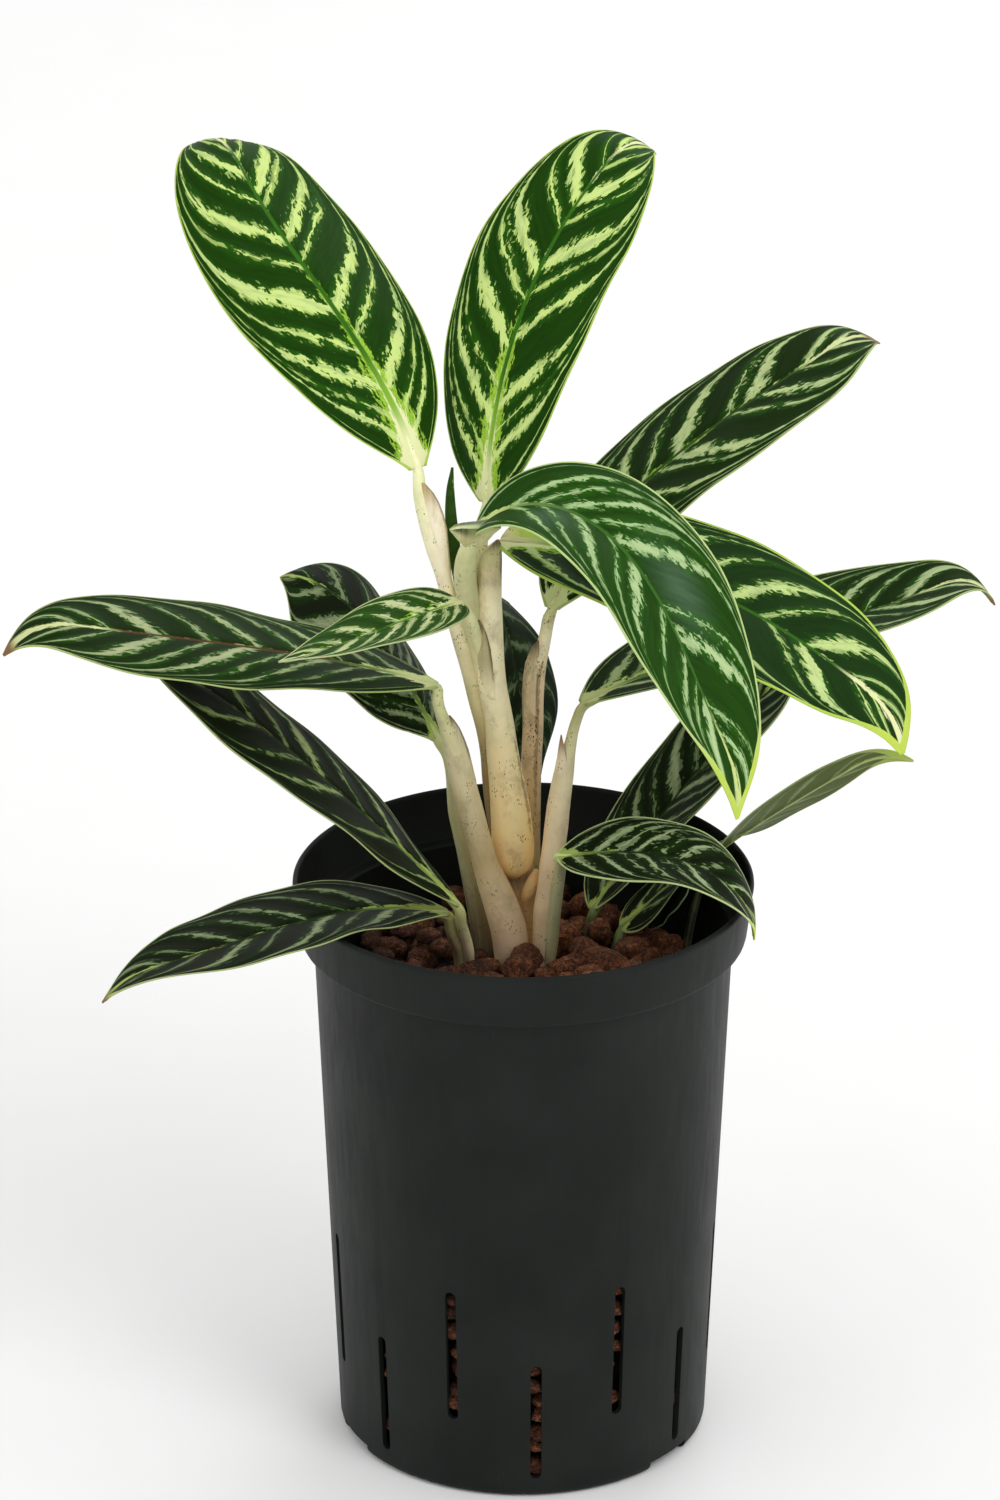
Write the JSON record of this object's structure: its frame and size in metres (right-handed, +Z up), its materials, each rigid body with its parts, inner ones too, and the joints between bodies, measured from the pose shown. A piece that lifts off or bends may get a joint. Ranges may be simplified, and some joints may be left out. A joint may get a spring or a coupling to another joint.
{
  "type": "potted aglaonema",
  "caption": "Potted ivy green aglaonema: lance-shaped patterned leaves on pale canes, rooted in expanded clay pebbles in a slotted culture pot.",
  "frame": {"origin": "on the pot's axis, at the level of the surface it stands on", "axes": "+Z up along the pot's axis; the front, as the picture shows the plant, faces -Y; +X is to the viewer's right"},
  "size_m": [0.3173, 0.1853, 0.4144],
  "materials": {
    "pot": "satin moulded plastic, near black",
    "clay": "rough fired clay, dusty red-brown",
    "stem": "smooth skin, cream to pinkish yellow with brown and green specks",
    "leaf": "satin, dark green with feathered cream and lime bands along the side veins"
  },
  "bodies": {
    "root": {"pot": "pot", "clay_pebbles": "clay", "stem_cane": "stem", "stem_left": "stem", "stem_left_back": "stem", "stem_back": "stem", "stem_right": "stem", "stem_low_left": "stem", "stem_low_back": "stem", "stem_low_right": "stem", "stem_in_pot": "stem", "leaf_top_left": "leaf", "leaf_top": "leaf", "leaf_right_upper": "leaf", "leaf_drooping": "leaf", "leaf_right_middle": "leaf", "leaf_right_back": "leaf", "leaf_low_back": "leaf", "leaf_low_right": "leaf", "leaf_low_front": "leaf", "leaf_left_long": "leaf", "leaf_left_small": "leaf", "leaf_left_back": "leaf", "leaf_left_low": "leaf", "leaf_left_lowest": "leaf", "leaf_centre_back": "leaf", "leaf_in_pot": "leaf", "young_leaf": "leaf"}
  },
  "joints": []
}
